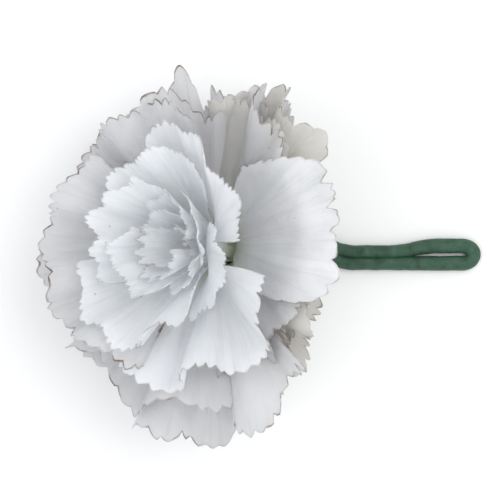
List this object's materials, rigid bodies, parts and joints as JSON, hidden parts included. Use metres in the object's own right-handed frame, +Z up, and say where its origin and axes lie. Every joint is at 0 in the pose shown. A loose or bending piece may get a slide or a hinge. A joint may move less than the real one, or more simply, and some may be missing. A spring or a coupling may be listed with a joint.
{
  "type": "boutonniere",
  "caption": "White carnation boutonniere: ruffled petals in a green calyx, on a doubled wire wound in dark green floral tape, lying on its side.",
  "frame": {"origin": "bottom centre of the bounding box, on the surface that the boutonniere lies on", "axes": "+X towards the rounded end of the taped stem, +Z up from the surface, which the open bloom faces, leaning towards -X"},
  "size_m": [0.0843, 0.0723, 0.0563],
  "materials": {
    "petal": "soft white petal, faint veins, browned rim",
    "calyx": "smooth waxy green",
    "pistil": "soft cream",
    "stem": "fresh green stem",
    "wire": "annealed floral wire",
    "tape": "waxed crepe paper, dark green"
  },
  "bodies": {
    "root": {"petal_01": "petal", "petal_02": "petal", "petal_03": "petal", "petal_04": "petal", "petal_05": "petal", "petal_06": "petal", "petal_07": "petal", "petal_08": "petal", "petal_09": "petal", "petal_10": "petal", "petal_11": "petal", "petal_12": "petal", "petal_13": "petal", "petal_14": "petal", "petal_15": "petal", "petal_16": "petal", "petal_17": "petal", "petal_18": "petal", "petal_19": "petal", "petal_20": "petal", "petal_21": "petal", "petal_22": "petal", "petal_23": "petal", "petal_24": "petal", "petal_25": "petal", "petal_26": "petal", "petal_27": "petal", "petal_28": "petal", "petal_29": "petal", "petal_30": "petal", "petal_31": "petal", "petal_32": "petal", "petal_33": "petal", "petal_34": "petal", "petal_35": "petal", "petal_36": "petal", "petal_37": "petal", "calyx": "calyx", "bract_1": "calyx", "bract_2": "calyx", "bract_3": "calyx", "bract_4": "calyx", "pistil": "pistil", "flower_stem": "stem", "floral_wire": "wire", "wire_tape": "tape", "collar_tape": "tape"}
  },
  "joints": []
}
